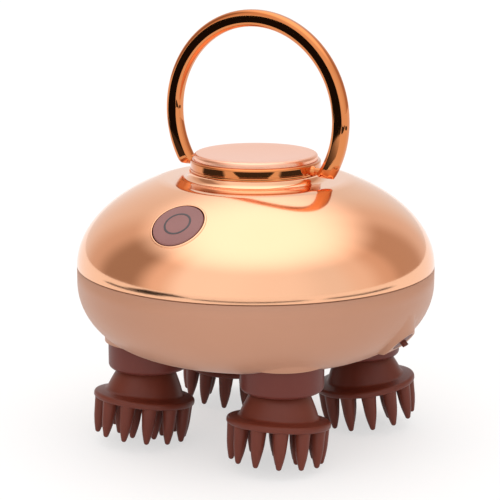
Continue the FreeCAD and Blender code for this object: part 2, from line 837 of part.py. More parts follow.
def motor_screw_places():
    return [polar(motor_screw_circle, 90 + index * 360 / motor_screw_count)
            for index in range(motor_screw_count)]


def make_gear_plate():
    plate = rod(plate_radius, plate_bottom, plate_top)
    plate = fused([plate] + charge_posts())
    plate = plate.cut(rod(gearbox_boss_radius + seat_clearance, plate_bottom, plate_top))
    for place in head_places():
        plate = plate.cut(rod(bush_radius, plate_bottom, plate_top, place))
    for place in post_places():
        plate = plate.cut(rod(plate_screw_radius + seat_clearance, plate_bottom, plate_top, place))
    for place in motor_screw_places():
        plate = plate.cut(rod(motor_screw_radius + seat_clearance, plate_bottom, plate_top, place))
    for place in charge_post_places():
        plate = plate.cut(rod(board_screw_radius, plate_bottom, plate_top + charge_board_lift, place))
    return plate


def make_motor_gearbox():
    body = rod(gearbox_radius, plate_top, plate_top + gearbox_height)
    body = fused([body, rod(gearbox_boss_radius, plate_top - gearbox_boss_depth, plate_top)])
    body = body.cut(rod(motor_shaft_radius + running_clearance, plate_top - gearbox_boss_depth,
                        plate_top + gearbox_height / 2 + part_gap))
    for place in motor_screw_places():
        body = body.cut(rod(motor_screw_radius, plate_top, plate_top + motor_screw_bite, place))
    return body


def make_motor_can():
    low = plate_top + gearbox_height
    can = rod(motor_radius, low, low + motor_height)
    rim = [edge for edge in can.Edges if edge.Closed and edge.BoundBox.ZMin > low + motor_edge_round]
    can = can.makeFillet(motor_edge_round, rim)
    return fused([can, rod(motor_cap_radius, low + motor_height - motor_edge_round,
                           low + motor_height + motor_cap_height)])


def make_motor_screws():
    screws = []
    for place in motor_screw_places():
        shank = rod(motor_screw_radius, plate_bottom, plate_top + motor_screw_bite, place)
        head = rod(motor_screw_head_radius, plate_bottom - motor_screw_head_height, plate_bottom, place)
        screws.append(fused([shank, head]))
    return Part.makeCompound(screws)


def make_plate_screws():
    screws = []
    for place in post_places():
        shank = rod(plate_screw_radius, plate_bottom - plate_screw_bite, plate_top, place)
        head = rod(plate_screw_head_radius, plate_top, plate_top + plate_screw_head_height, place)
        screws.append(fused([shank, head]))
    return Part.makeCompound(screws)


cell_height = plate_top + cradle_floor + cell_radius


def make_battery_cell():
    body = rounded_rod(cell_radius, -cell_length / 2, cell_length / 2, cell_edge_round)
    body = fused([body, rod(cell_nub_radius, 0, cell_length / 2 + cell_nub_height)])
    return set_along(body, FreeCAD.Vector(0, cell_offset, cell_height), FreeCAD.Vector(1, 0, 0))


def make_battery_cradle():
    half = cell_length / 2 + cell_nub_height + cradle_end_gap + cradle_wall
    side = cell_radius * math.sqrt(0.5) + cradle_wall
    body = block(FreeCAD.Vector(-half, cell_offset - side, plate_top),
                 FreeCAD.Vector(half, cell_offset + side, plate_top + cradle_side_height))
    trough = rod(cell_radius, cradle_wall - half, half - cradle_wall)
    return body.cut(set_along(trough, FreeCAD.Vector(0, cell_offset, cell_height), FreeCAD.Vector(1, 0, 0)))


def make_charge_plug():
    # head in the port's recess, stem in the inlet and a tab to pull it by
    head = rod(plug_radius, -plug_thickness, 0)
    stem = rod(plug_stem_radius, -plug_thickness - plug_stem_length, 0)
    tab = block(FreeCAD.Vector(-plug_tab_thickness / 2, -plug_tab_width / 2, -plug_thickness / 2),
                FreeCAD.Vector(plug_tab_thickness / 2, plug_tab_width / 2, plug_tab_length))
    return set_along(fused([head, stem, tab]), port_point, port_out)


def make_charge_socket():
    top = -plug_thickness - part_gap
    body = rod(socket_radius, -socket_length, top)
    return set_along(body.cut(rod(inlet_bore_radius, top - inlet_bore_depth, top)), port_point, port_out)


def charge_post_places():
    return [FreeCAD.Vector(charge_board_centre + side * charge_post_offset, 0, 0) for side in (-1, 1)]


def charge_posts():
    return [rod(charge_post_radius, plate_bottom, plate_top + charge_board_lift, place)
            for place in charge_post_places()]


def flat_block(length, width, low, high):
    # block over the middle of the charging board
    return block(FreeCAD.Vector(charge_board_centre - length / 2, -width / 2, low),
                 FreeCAD.Vector(charge_board_centre + length / 2, width / 2, high))


def make_charge_board():
    low = plate_top + charge_board_lift
    board = flat_block(charge_board_length, charge_board_width, low, low + board_thickness)
    chip = flat_block(chip_length, chip_width, low + board_thickness, low + board_thickness + chip_height)
    board = fused([board, chip])
    for place in charge_post_places():
        board = board.cut(rod(board_screw_radius + seat_clearance, low, low + board_thickness, place))
    return board


def make_board_screws():
    screws = switch_screws()
    top = plate_top + charge_board_lift + board_thickness
    for place in charge_post_places():
        shank = rod(board_screw_radius, top - board_screw_bite, top, place)
        head = rod(board_screw_head_radius, top, top + board_screw_head_height, place)
        screws.append(fused([shank, head]))
    return Part.makeCompound(screws)


def make_nodes():
    nodes = {
        "upper_shell": make_upper_shell(),
        "lower_shell": make_lower_shell(),
        "seam_gasket": make_seam_gasket(),
        "handle_collar": make_handle_collar(),
        "collar_screws": make_collar_screws(),
        "top_cap": make_top_cap(),
        "handle_pivot_pins": make_pivot_pins(),
        "ring_handle": make_ring_handle(),
        "button_bezel": make_button_bezel(),
        "power_button": make_power_button(),
        "button_ring_mark": ring_mark(),
        "switch_plunger": make_switch_plunger(),
        "tact_switch": make_tact_switch(),
        "switch_board": make_switch_board(),
        "shaft_seals": make_shaft_seals(),
        "lower_bushes": make_lower_bushes(),
        "upper_bushes": make_upper_bushes(),
        "drive_gear": make_drive_gear(),
        "motor_output_shaft": make_output_shaft(),
        "gear_plate": make_gear_plate(),
        "motor_gearbox": make_motor_gearbox(),
        "motor_can": make_motor_can(),
        "motor_screws": make_motor_screws(),
        "plate_screws": make_plate_screws(),
        "battery_cell": make_battery_cell(),
        "battery_cradle": make_battery_cradle(),
        "charge_port_plug": make_charge_plug(),
        "charge_socket": make_charge_socket(),
        "charge_board": make_charge_board(),
        "board_screws": make_board_screws(),
    }
    claw = make_claw()
    for name, place, bearing, lean in zip(head_names, head_places(), head_bearings, lean_bearings):
        nodes["claw_sleeve_" + name] = make_sleeve(place)
        nodes["claw_head_" + name] = set_head(claw, place, lean)
        nodes["claw_hub_" + name] = make_hub(place, lean)
        nodes["spindle_" + name] = make_spindle(place, lean)
        nodes["head_gear_" + name] = make_head_gear(place, bearing)
    return nodes


os.makedirs("parts", exist_ok=True)
for node_name, shape in make_nodes().items():
    shape.exportStep("parts/" + node_name + ".step")
    print(node_name, len(shape.Solids), shape.isValid(), round(shape.Volume, 2))
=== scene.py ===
import math

import bmesh
import bpy
from mathutils import Matrix, Vector


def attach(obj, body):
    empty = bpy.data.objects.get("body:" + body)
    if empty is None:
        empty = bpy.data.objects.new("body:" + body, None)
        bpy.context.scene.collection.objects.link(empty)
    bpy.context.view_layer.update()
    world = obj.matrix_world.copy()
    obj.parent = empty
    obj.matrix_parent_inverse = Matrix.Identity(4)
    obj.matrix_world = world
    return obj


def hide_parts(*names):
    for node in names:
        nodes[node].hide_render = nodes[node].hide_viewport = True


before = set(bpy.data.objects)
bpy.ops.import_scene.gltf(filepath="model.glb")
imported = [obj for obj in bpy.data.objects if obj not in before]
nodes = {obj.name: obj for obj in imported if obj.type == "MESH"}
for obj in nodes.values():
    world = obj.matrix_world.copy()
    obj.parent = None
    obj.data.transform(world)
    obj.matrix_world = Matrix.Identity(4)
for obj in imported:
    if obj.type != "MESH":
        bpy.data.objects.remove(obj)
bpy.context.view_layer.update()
mm = 0.001
bendSteps = 8
# in mm: points nearer than weld become one, edges shorter than sliver go
weld = 1e-4
sliver = 1e-5
print("frame loaded:", len(nodes), "nodes")


# shared making

def wireProfile(bm, rows, closed=True):
    # rows are (radius, height, rounding) in mm; a rounding is how far the bend reaches along both lines
    verts = [bm.verts.new((r, 0, z)) for r, z, _ in rows]
    pairs = list(zip(verts, verts[1:] + verts[:1])) if closed else list(zip(verts, verts[1:]))
    for a, b in pairs:
        bm.edges.new((a, b))
    for vert, (_, _, rounding) in zip(verts, rows):
        if rounding:
            bmesh.ops.bevel(bm, geom=[vert], offset=rounding, offset_type="OFFSET", segments=bendSteps,
                            profile=0.5, affect="VERTICES", material=-1)


def turned(rows, steps, closed=True):
    bm = bmesh.new()
    wireProfile(bm, rows, closed)
    bmesh.ops.spin(bm, geom=bm.verts[:] + bm.edges[:], cent=(0, 0, 0), axis=(0, 0, 1),
                   angle=math.tau, steps=steps, use_merge=True)
    bmesh.ops.remove_doubles(bm, verts=bm.verts, dist=weld)
    bmesh.ops.dissolve_degenerate(bm, dist=sliver, edges=bm.edges)
    bmesh.ops.recalc_face_normals(bm, faces=bm.faces)
    return bm


def joined(bm, other):
    mesh = bpy.data.meshes.new("part")
    other.to_mesh(mesh)
    bm.from_mesh(mesh)
    bpy.data.meshes.remove(mesh)
    other.free()


def piece(name, bm, body, slotName, standsFor, sharp=35.0):
    # mm in the bmesh become metres in the finished mesh
    bmesh.ops.scale(bm, vec=(mm, mm, mm), verts=bm.verts)
    mesh = bpy.data.meshes.new(name)
    bm.to_mesh(mesh)
    bm.free()
    for face in mesh.polygons:
        face.use_smooth = True
    mesh.set_sharp_from_angle(angle=math.radians(sharp))
    obj = bpy.data.objects.new(name, mesh)
    bpy.context.scene.collection.objects.link(obj)
    mesh.materials.append(finishes[slotName])
    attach(obj, body)
    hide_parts(*standsFor)
    return obj


def evenNormals(obj):
    # flat faces keep their own direction beside a rounding, so that polished faces mirror as flat ones do
    even = obj.modifiers.new("evenNormals", "WEIGHTED_NORMAL")
    even.keep_sharp = True


# finishes

mottleDetail = 2.0
grainDetail = 4.0
# the noise at which a finish has all of its dark colour, and all of its light one
blendSpan = (0.3, 0.7)


def blank(name):
    mat = bpy.data.materials.new(name)
    mat.use_nodes = True
    tree = mat.node_tree
    return mat, tree, tree.nodes["Principled BSDF"]


def objectNoise(tree, scale, detail, stretch=(1, 1, 1)):
    coords = tree.nodes.new("ShaderNodeTexCoord")
    mapping = tree.nodes.new("ShaderNodeMapping")
    mapping.inputs["Scale"].default_value = stretch
    noise = tree.nodes.new("ShaderNodeTexNoise")
    noise.inputs["Scale"].default_value = scale
    noise.inputs["Detail"].default_value = detail
    tree.links.new(coords.outputs["Object"], mapping.inputs["Vector"])
    tree.links.new(mapping.outputs["Vector"], noise.inputs["Vector"])
    return noise


def blendColours(tree, shader, noise, dark, light):
    ramp = tree.nodes.new("ShaderNodeValToRGB")
    ramp.color_ramp.elements[0].position = blendSpan[0]
    ramp.color_ramp.elements[1].position = blendSpan[1]
    ramp.color_ramp.elements[0].color = (*dark, 1)
    ramp.color_ramp.elements[1].color = (*light, 1)
    tree.links.new(noise.outputs["Fac"], ramp.inputs["Fac"])
    tree.links.new(ramp.outputs["Color"], shader.inputs["Base Color"])


def roughFrom(tree, shader, noise, low, high):
    spread = tree.nodes.new("ShaderNodeMapRange")
    spread.inputs["To Min"].default_value = low
    spread.inputs["To Max"].default_value = high
    tree.links.new(noise.outputs["Fac"], spread.inputs["Value"])
    tree.links.new(spread.outputs["Result"], shader.inputs["Roughness"])


def bumpFrom(tree, shader, noise, strength, distance):
    bump = tree.nodes.new("ShaderNodeBump")
    bump.inputs["Strength"].default_value = strength
    bump.inputs["Distance"].default_value = distance
    tree.links.new(noise.outputs["Fac"], bump.inputs["Height"])
    tree.links.new(bump.outputs["Normal"], shader.inputs["Normal"])


def makeFinish(name, look):
    mat, tree, shader = blank(name)
    stretch = look.get("stretch", (1, 1, 1))
    mottle = objectNoise(tree, look["mottle"], mottleDetail, stretch)
    grain = objectNoise(tree, look["grain"], grainDetail, stretch)
    blendColours(tree, shader, mottle, look["dark"], look["light"])
    roughFrom(tree, shader, grain, *look["rough"])
    if "bump" in look:
        bumpFrom(tree, shader, grain, *look["bump"])
    for socket, value in look.get("sockets", {}).items():
        shader.inputs[socket].default_value = value
    return mat


looks = {
    "rose_shell": {
        "dark": (0.91, 0.49, 0.295), "light": (0.94, 0.52, 0.32),
        "mottle": 18.0, "grain": 2600.0, "rough": (0.09, 0.11),
        "sockets": {"Metallic": 1.0, "Coat Weight": 0.06, "Coat Roughness": 0.03},
    },
    "tan_shell": {
        "dark": (0.46, 0.228, 0.142), "light": (0.49, 0.244, 0.152),
        "mottle": 22.0, "grain": 1900.0, "rough": (0.36, 0.46), "bump": (0.05, 0.00003),
        "sockets": {"Specular IOR Level": 0.35, "Sheen Weight": 0.12},
    },
    "polished_gold": {
        "dark": (0.68, 0.21, 0.05), "light": (0.73, 0.24, 0.062),
        "mottle": 30.0, "grain": 900.0, "rough": (0.02, 0.04),
        "sockets": {"Metallic": 1.0, "Coat Weight": 0.35, "Coat IOR": 1.7, "Coat Roughness": 0.02},
    },
    "satin_cap": {
        "dark": (0.94, 0.50, 0.345), "light": (0.96, 0.525, 0.365),
        "mottle": 24.0, "grain": 600.0, "rough": (0.27, 0.30),
        "sockets": {"Metallic": 1.0},
    },
    "mauve_plastic": {
        "dark": (0.255, 0.108, 0.1), "light": (0.295, 0.13, 0.122),
        "mottle": 60.0, "grain": 2600.0, "rough": (0.42, 0.54), "bump": (0.08, 0.00004),
    },
    "claw_silicone": {
        "dark": (0.125, 0.023, 0.012), "light": (0.15, 0.029, 0.015),
        "mottle": 40.0, "grain": 1500.0, "rough": (0.38, 0.48), "bump": (0.05, 0.00004),
        "sockets": {"Specular IOR Level": 0.3},
    },
    "sleeve_plastic": {
        "dark": (0.12, 0.024, 0.017), "light": (0.142, 0.03, 0.021),
        "mottle": 40.0, "grain": 1700.0, "rough": (0.38, 0.46), "bump": (0.04, 0.00004),
        "sockets": {"Specular IOR Level": 0.3},
    },
    "mark_grey": {
        "dark": (0.055, 0.045, 0.05), "light": (0.08, 0.066, 0.07),
        "mottle": 90.0, "grain": 2600.0, "rough": (0.45, 0.6), "bump": (0.05, 0.00002),
    },
    "gear_white": {
        "dark": (0.74, 0.73, 0.68), "light": (0.82, 0.81, 0.77),
        "mottle": 60.0, "grain": 1500.0, "rough": (0.32, 0.42), "bump": (0.08, 0.00004),
        "sockets": {"Subsurface Weight": 0.05},
    },
    "steel": {
        "dark": (0.55, 0.55, 0.56), "light": (0.66, 0.66, 0.66), "stretch": (1, 1, 12),
        "mottle": 90.0, "grain": 1400.0, "rough": (0.2, 0.34), "bump": (0.06, 0.00003),
        "sockets": {"Metallic": 1.0},
    },
    "black_plastic": {
        "dark": (0.028, 0.028, 0.03), "light": (0.045, 0.045, 0.046),
        "mottle": 70.0, "grain": 2200.0, "rough": (0.42, 0.56), "bump": (0.1, 0.00005),
    },
    "bush_bronze": {
        "dark": (0.50, 0.31, 0.14), "light": (0.66, 0.45, 0.22),
        "mottle": 400.0, "grain": 2400.0, "rough": (0.36, 0.5), "bump": (0.15, 0.00006),
        "sockets": {"Metallic": 1.0},
    },
    "board_green": {
        "dark": (0.02, 0.12, 0.045), "light": (0.035, 0.18, 0.07),
        "mottle": 700.0, "grain": 3000.0, "rough": (0.25, 0.4), "bump": (0.2, 0.00005),
        "sockets": {"Coat Weight": 0.3},
    },
    "seal_rubber": {
        "dark": (0.045, 0.04, 0.04), "light": (0.07, 0.062, 0.06),
        "mottle": 120.0, "grain": 2000.0, "rough": (0.6, 0.75), "bump": (0.15, 0.00006),
    },
    "cell_wrap": {
        "dark": (0.04, 0.13, 0.36), "light": (0.055, 0.17, 0.44),
        "mottle": 40.0, "grain": 900.0, "rough": (0.18, 0.28), "bump": (0.05, 0.00004),
        "sockets": {"Coat Weight": 0.4},
    },
    "chassis_grey": {
        "dark": (0.28, 0.28, 0.30), "light": (0.36, 0.36, 0.375),
        "mottle": 80.0, "grain": 1600.0, "rough": (0.45, 0.6), "bump": (0.12, 0.00005),
    },
}
finishes = {name: makeFinish(name, look) for name, look in looks.items()}
print("finishes made:", len(finishes))


# shells

seam = 57.0
domeShape = {"radius": 58.0, "rise": 33.4, "wall": 2.2, "seamGap": 0.4, "shoulder": 28.4, "topRise": 27.75,
             "neckRadius": 21.4, "flare": 2.2, "flareShare": 0.999, "bore": 15.1, "shoulderBend": 1.73,
             "lipRise": 3.2, "lipWall": 0.9, "outerRows": 60, "innerRows": 24, "steps": 224}
lowerShellCopy = {"weld": 1e-6, "sharp": 28.0}  # weld in metres
buttonSeat = {"radius": 45.3, "hole": 9.15, "cutDepth": 12.0, "cutSink": 2.5, "steps": 128}
neckTop = seam + domeShape["shoulder"] + domeShape["flare"]


def ellipseRows(radius, rise, startRise, endRise, count):
    # points up a quarter of an ellipse, evenly spaced by angle
    first = math.asin(startRise / rise)
    last = math.asin(endRise / rise)
    angles = [first + (last - first) * i / count for i in range(count + 1)]
    return [(radius * math.cos(a), seam + rise * math.sin(a), 0) for a in angles]


def buttonFrame():
    d = domeShape
    rise = d["rise"] * math.sqrt(1 - (buttonSeat["radius"] / d["radius"]) ** 2)
    point = Vector((0, -buttonSeat["radius"], seam + rise))
    out = Vector((0, -buttonSeat["radius"] / d["radius"] ** 2, rise / d["rise"] ** 2)).normalized()
    across = Vector((1, 0, 0))
    return point, across, out.cross(across), out


def makeUpperShell():
    d = domeShape
    cornerRadius = d["radius"] * math.sqrt(1 - (d["shoulder"] / d["rise"]) ** 2)
    inner = d["radius"] - d["wall"]
    ceiling = d["shoulder"] - d["wall"]
    lip = d["radius"] - d["lipWall"]
    rows = ellipseRows(d["radius"], d["rise"], d["seamGap"], d["topRise"], d["outerRows"])
    rows += [(cornerRadius, seam + d["shoulder"], d["shoulderBend"]),
             (d["neckRadius"], seam + d["shoulder"], d["flare"] * d["flareShare"]),
             (d["neckRadius"], neckTop, 0), (d["bore"], neckTop, 0), (d["bore"], seam + ceiling, 0)]
    rows += ellipseRows(inner, d["rise"] - d["wall"], d["lipRise"], ceiling, d["innerRows"])[::-1]
    rows += [(lip, seam + d["lipRise"], 0), (lip, seam + d["seamGap"], 0)]
    bm = turned(rows, d["steps"])
    shell = piece("upperShell", bm, "housing", "rose_shell", ["upper_shell"])
    point, across, along, out = buttonFrame()
    cutter = bmesh.new()
    bmesh.ops.create_cone(cutter, cap_ends=True, segments=buttonSeat["steps"], depth=buttonSeat["cutDepth"],
                          radius1=buttonSeat["hole"], radius2=buttonSeat["hole"])
    place = Matrix((across, along, out)).transposed().to_4x4()
    place.translation = point - out * buttonSeat["cutSink"]
    bmesh.ops.transform(cutter, matrix=place, verts=cutter.verts)
    bmesh.ops.scale(cutter, vec=(mm, mm, mm), verts=cutter.verts)
    mesh = bpy.data.meshes.new("buttonHole")
    cutter.to_mesh(mesh)
    cutter.free()
    hole = bpy.data.objects.new("buttonHole", mesh)
    bpy.context.scene.collection.objects.link(hole)
    cut = shell.modifiers.new("hole", "BOOLEAN")
    cut.operation = "DIFFERENCE"
    cut.solver = "EXACT"
    cut.object = hole
    depsgraph = bpy.context.evaluated_depsgraph_get()
    done = bpy.data.meshes.new_from_object(shell.evaluated_get(depsgraph))
    shell.modifiers.clear()
    shell.data = done
    bpy.data.objects.remove(hole)


def makeLowerShell():
    bm = bmesh.new()
    bm.from_mesh(nodes["lower_shell"].data)
    bmesh.ops.remove_doubles(bm, verts=bm.verts, dist=lowerShellCopy["weld"])
    bmesh.ops.scale(bm, vec=(1 / mm, 1 / mm, 1 / mm), verts=bm.verts)
    piece("lowerShell", bm, "housing", "tan_shell", ["lower_shell"], sharp=lowerShellCopy["sharp"])


makeUpperShell()
makeLowerShell()
print("shells made")


# collar, cap and ring handle

collarShape = {"radius": 21.1, "height": 3.9, "bore": 12.0, "spigot": 15.0, "edge": 0.8,
               "footEdge": 0.15, "grooveRise": 0.9, "grooveWidth": 0.35, "grooveDepth": 0.25,
               "grooveEdge": 0.08, "seat": 18.7, "seatDepth": 1.2, "steps": 192}
capShape = {"radius": 20.0, "height": 1.9, "edge": 1.1, "footEdge": 0.1, "dish": 15.5, "dishDepth": 0.35,
            "dishEdge": 0.5, "dishRows": 8, "spigot": 18.6, "spigotDepth": 1.2, "steps": 192}
ringShape = {"outer": 33.89, "band": 5.48, "width": 4.0, "edge": 1.6, "pivot": 1.8, "centre": 16.0,
             "spare": 0.2, "footGap": 0.02, "steps": 480, "edgeSteps": 6, "sharp": 40.0}


def makeCollar():
    c = collarShape
    top = neckTop + c["height"]
    groove = neckTop + c["grooveRise"]
    grooveTop = groove + c["grooveWidth"]
    ceiling = seam + domeShape["shoulder"] - domeShape["wall"]
    deep = c["radius"] - c["grooveDepth"]
    rows = [(c["bore"], ceiling, 0), (c["spigot"], ceiling, 0), (c["spigot"], neckTop, 0),
            (c["radius"], neckTop, c["footEdge"]), (c["radius"], groove, c["grooveEdge"]),
            (deep, groove, 0), (deep, grooveTop, 0), (c["radius"], grooveTop, c["grooveEdge"]),
            (c["radius"], top, c["edge"]), (c["seat"], top, 0), (c["seat"], top - c["seatDepth"], 0),
            (c["bore"], top - c["seatDepth"], 0)]
    bm = turned(rows, c["steps"])
    evenNormals(piece("handleCollar", bm, "housing", "polished_gold", ["handle_collar"]))


def makeCap():
    c = capShape
    low = neckTop + collarShape["height"]
    top = low + c["height"]
    foot = low - c["spigotDepth"]
    shares = [i / c["dishRows"] for i in range(c["dishRows"])]
    rows = [(c["dish"] * share, top - c["dishDepth"] * (1 - share ** 2), 0) for share in shares]
    rows += [(c["dish"], top, c["dishEdge"]), (c["radius"], top, c["edge"]),
             (c["radius"], low, c["footEdge"]), (c["spigot"], low, 0), (c["spigot"], foot, 0), (0, foot, 0)]
    bm = turned(rows, c["steps"], closed=False)
    evenNormals(piece("topCap", bm, "housing", "satin_cap", ["top_cap"]))


def makeRing():
    r = ringShape
    bm = bmesh.new()
    half = r["width"] / 2
    inner = r["outer"] - r["band"]
    pivot = neckTop + r["pivot"]
    centre = pivot + r["centre"]
    corners = [bm.verts.new(p) for p in ((inner, -half, 0), (r["outer"], -half, 0),
                                         (r["outer"], half, 0), (inner, half, 0))]
    face = bm.faces.new(corners)
    bmesh.ops.bevel(bm, geom=face.verts[:], offset=r["edge"], offset_type="OFFSET", segments=r["edgeSteps"],
                    profile=0.5, affect="VERTICES", material=-1)
    # the section starts under the pivot on one side and is spun over the top to the other
    reach = math.asin((r["centre"] + half + r["spare"]) / (r["outer"] - r["band"] / 2))
    bmesh.ops.rotate(bm, cent=(0, 0, 0), matrix=Matrix.Rotation(reach, 3, "Y"), verts=bm.verts)
    bmesh.ops.spin(bm, geom=bm.verts[:] + bm.edges[:] + bm.faces[:], cent=(0, 0, 0), axis=(0, -1, 0),
                   angle=math.pi + 2 * reach, steps=r["steps"])
    bmesh.ops.remove_doubles(bm, verts=bm.verts, dist=weld)
    bmesh.ops.translate(bm, vec=(0, 0, centre), verts=bm.verts)
    low = bmesh.ops.bisect_plane(bm, geom=bm.verts[:] + bm.edges[:] + bm.faces[:], dist=sliver,
                                 plane_co=(0, 0, pivot - half + r["footGap"]), plane_no=(0, 0, -1),
                                 clear_outer=True)
    rims = [e for e in low["geom_cut"] if isinstance(e, bmesh.types.BMEdge)]
    bmesh.ops.holes_fill(bm, edges=rims)
    for vert in bm.verts:  # ends half-round about the pivot line
        drop = pivot - vert.co.z
        if drop > 0:
            vert.co.y *= math.sqrt(max(0.0, 1 - (drop / half) ** 2))
    bmesh.ops.recalc_face_normals(bm, faces=bm.faces)
    evenNormals(piece("ringHandle", bm, "handle", "polished_gold", ["ring_handle"], sharp=r["sharp"]))


makeCollar()
makeCap()
makeRing()
print("collar, cap and ring made")


# button

buttonShape = {"radius": 8.2, "stand": 0.4, "edge": 0.45, "depth": -3.5, "faceRows": 10, "steps": 128}
bezelShape = {"outer": 9.15, "inner": 8.5, "stand": 0.25, "depth": -2.2, "edge": 0.2, "steps": 128}
markShape = {"outer": 4.425, "inner": 3.775, "stand": 0.46, "depth": -0.1, "edge": 0.05, "steps": 96}


def ontoDome(bm):
    # heights in the flat bmesh become distances from the dome's surface, along the button's axis
    point, across, along, out = buttonFrame()
    for vert in bm.verts:
        u, v, grow = vert.co
        a = domeShape["radius"] + grow
        b = domeShape["rise"] + grow
        p = point + across * u + along * v - Vector((0, 0, seam))
        scale = Vector((1 / a ** 2, 1 / a ** 2, 1 / b ** 2))
        qa = sum(scale[i] * out[i] ** 2 for i in range(3))
        qb = sum(scale[i] * out[i] * p[i] for i in range(3))
        qc = sum(scale[i] * p[i] ** 2 for i in range(3)) - 1
        lift = (-qb + math.sqrt(max(0.0, qb ** 2 - qa * qc))) / qa
        vert.co = p + out * lift + Vector((0, 0, seam))


def buttonRows(b):
    flat = b["radius"] - b["edge"]
    rows = [(flat * i / b["faceRows"], b["stand"], 0) for i in range(b["faceRows"])]
    return rows + [(b["radius"], b["stand"], b["edge"]), (b["radius"], b["depth"], 0), (0, b["depth"], 0)]


def bandRows(shape):
    inner = shape["inner"]
    outer = shape["outer"]
    return [(inner, shape["depth"], 0), (outer, shape["depth"], 0), (outer, shape["stand"], shape["edge"]),
            (inner, shape["stand"], shape["edge"])]


def makeButton():
    bm = turned(buttonRows(buttonShape), buttonShape["steps"], closed=False)
    ontoDome(bm)
    piece("powerButton", bm, "button", "mauve_plastic", ["power_button"])
    bm = turned(bandRows(bezelShape), bezelShape["steps"])
    ontoDome(bm)
    piece("buttonBezel", bm, "housing", "rose_shell", ["button_bezel"])
    bm = turned(bandRows(markShape), markShape["steps"])
    ontoDome(bm)
    piece("buttonRingMark", bm, "button", "mark_grey", ["button_ring_mark"])


makeButton()
print("button made")


# heads

headShape = {"circle": 35.5, "bend": 30.0, "lean": 8.0, "neckTop": 5.0, "neckRadius": 8.6, "neckEdge": 0.3,
             "neckFoot": 13.8, "neckFootRadius": 12.6, "neckFootBend": 0.6, "neckRows": 10, "swell": 0.2,
             "flange": 16.4, "shoulder": 14.55, "bottom": 16.6, "edge": 0.8, "steps": 96,
             "outerTeeth": 12, "innerTeeth": 6, "rootCircle": 13.5, "tipCircle": 14.1, "innerCircle": 7.0}
toothShape = {"root": 2.6, "waist": 1.85, "waistShare": 0.7, "waistBend": 2.0, "tip": 0.9, "sink": 1.0,
              "steps": 24, "ballShares": [(1.02, 0), (0.87, 0.5), (0.5, 0.87), (0, 1)]}
sleeveShape = {"radius": 13.2, "top": 34.7, "bottom": 24.6, "edge": 1.5, "bore": 11.4, "boreBend": 0.4,
               "boreEdge": 0.2, "web": 2.0, "shaft": 6.1, "steps": 96}
# bearing of each head on the body, and the bearing that it leans to at rest
headPlaces = {"front_right": (-45.0, -86.0), "front_left": (-135.0, -108.0),
              "rear_left": (135.0, 148.0), "rear_right": (45.0, 32.0)}


def spot(radius, bearing, height=0.0):
    a = math.radians(bearing)
    return Vector((radius * math.cos(a), radius * math.sin(a), height))


def addTooth(bm, root, tip):
    s = toothShape
    way = tip - root
    length = way.length
    rows = [(s["root"], 0, 0), (s["waist"], length * s["waistShare"], s["waistBend"])]
    rows += [(s["tip"] * across, length + s["tip"] * along, 0) for across, along in s["ballShares"]]
    one = turned(rows, s["steps"], closed=False)
    place = way.to_track_quat("Z", "Y").to_matrix().to_4x4()
    place.translation = root
    bmesh.ops.transform(one, matrix=place, verts=one.verts)
    joined(bm, one)


def neckRows():
    h = headShape
    rows = [(0, -h["neckTop"], 0)]
    for i in range(h["neckRows"]):
        share = i / h["neckRows"]
        radius = h["neckRadius"] + (h["neckFootRadius"] - h["neckRadius"]) * share
        radius += h["swell"] * math.sin(math.pi * share)
        depth = h["neckTop"] + (h["neckFoot"] - h["neckTop"]) * share
        rows.append((radius, -depth, 0 if i else h["neckEdge"]))
    return rows


def clawMesh():
    h = headShape
    lean = math.radians(h["lean"])
    tipDepth = (h["bend"] - toothShape["tip"] - h["tipCircle"] * math.sin(lean)) / math.cos(lean)
    rows = neckRows()
    rows += [(h["neckFootRadius"], -h["neckFoot"], h["neckFootBend"]),
             (h["flange"], -h["shoulder"], h["edge"]), (h["flange"], -h["bottom"], h["edge"]),
             (0, -h["bottom"], 0)]
    bm = turned(rows, h["steps"], closed=False)
    rootHeight = toothShape["sink"] - h["bottom"]
    for i in range(h["outerTeeth"]):
        bearing = i * 360 / h["outerTeeth"]
        root = spot(h["rootCircle"], bearing, rootHeight)
        addTooth(bm, root, spot(h["tipCircle"], bearing, -tipDepth))
    for i in range(h["innerTeeth"]):
        bearing = (i + 0.5) * 360 / h["innerTeeth"]
        root = spot(h["innerCircle"], bearing, rootHeight)
        addTooth(bm, root, spot(h["innerCircle"], bearing, -tipDepth))
    return bm


def sleeveRows():
    s = sleeveShape
    web = s["top"] - s["web"]
    return [(s["shaft"], web, 0), (s["bore"], web, s["boreBend"]), (s["bore"], s["bottom"], s["boreEdge"]),
            (s["radius"], s["bottom"], s["edge"]), (s["radius"], s["top"], 0), (s["shaft"], s["top"], 0)]


def makeHeads():
    h = headShape
    tilt = Matrix.Rotation(math.radians(-h["lean"]), 4, "Y")
    for name, (bearing, leanBearing) in headPlaces.items():
        bm = clawMesh()
        place = Matrix.Rotation(math.radians(leanBearing), 4, "Z") @ tilt
        place.translation = spot(h["circle"], bearing, h["bend"])
        bmesh.ops.transform(bm, matrix=place, verts=bm.verts)
        piece("clawHead." + name, bm, "head_" + name, "claw_silicone", ["claw_head_" + name])
        bm = turned(sleeveRows(), sleeveShape["steps"])
        bmesh.ops.translate(bm, vec=spot(h["circle"], bearing), verts=bm.verts)
        piece("clawSleeve." + name, bm, "housing", "sleeve_plastic", ["claw_sleeve_" + name])


makeHeads()
print("heads made")


# finishes of the pieces that stay as the CAD made them

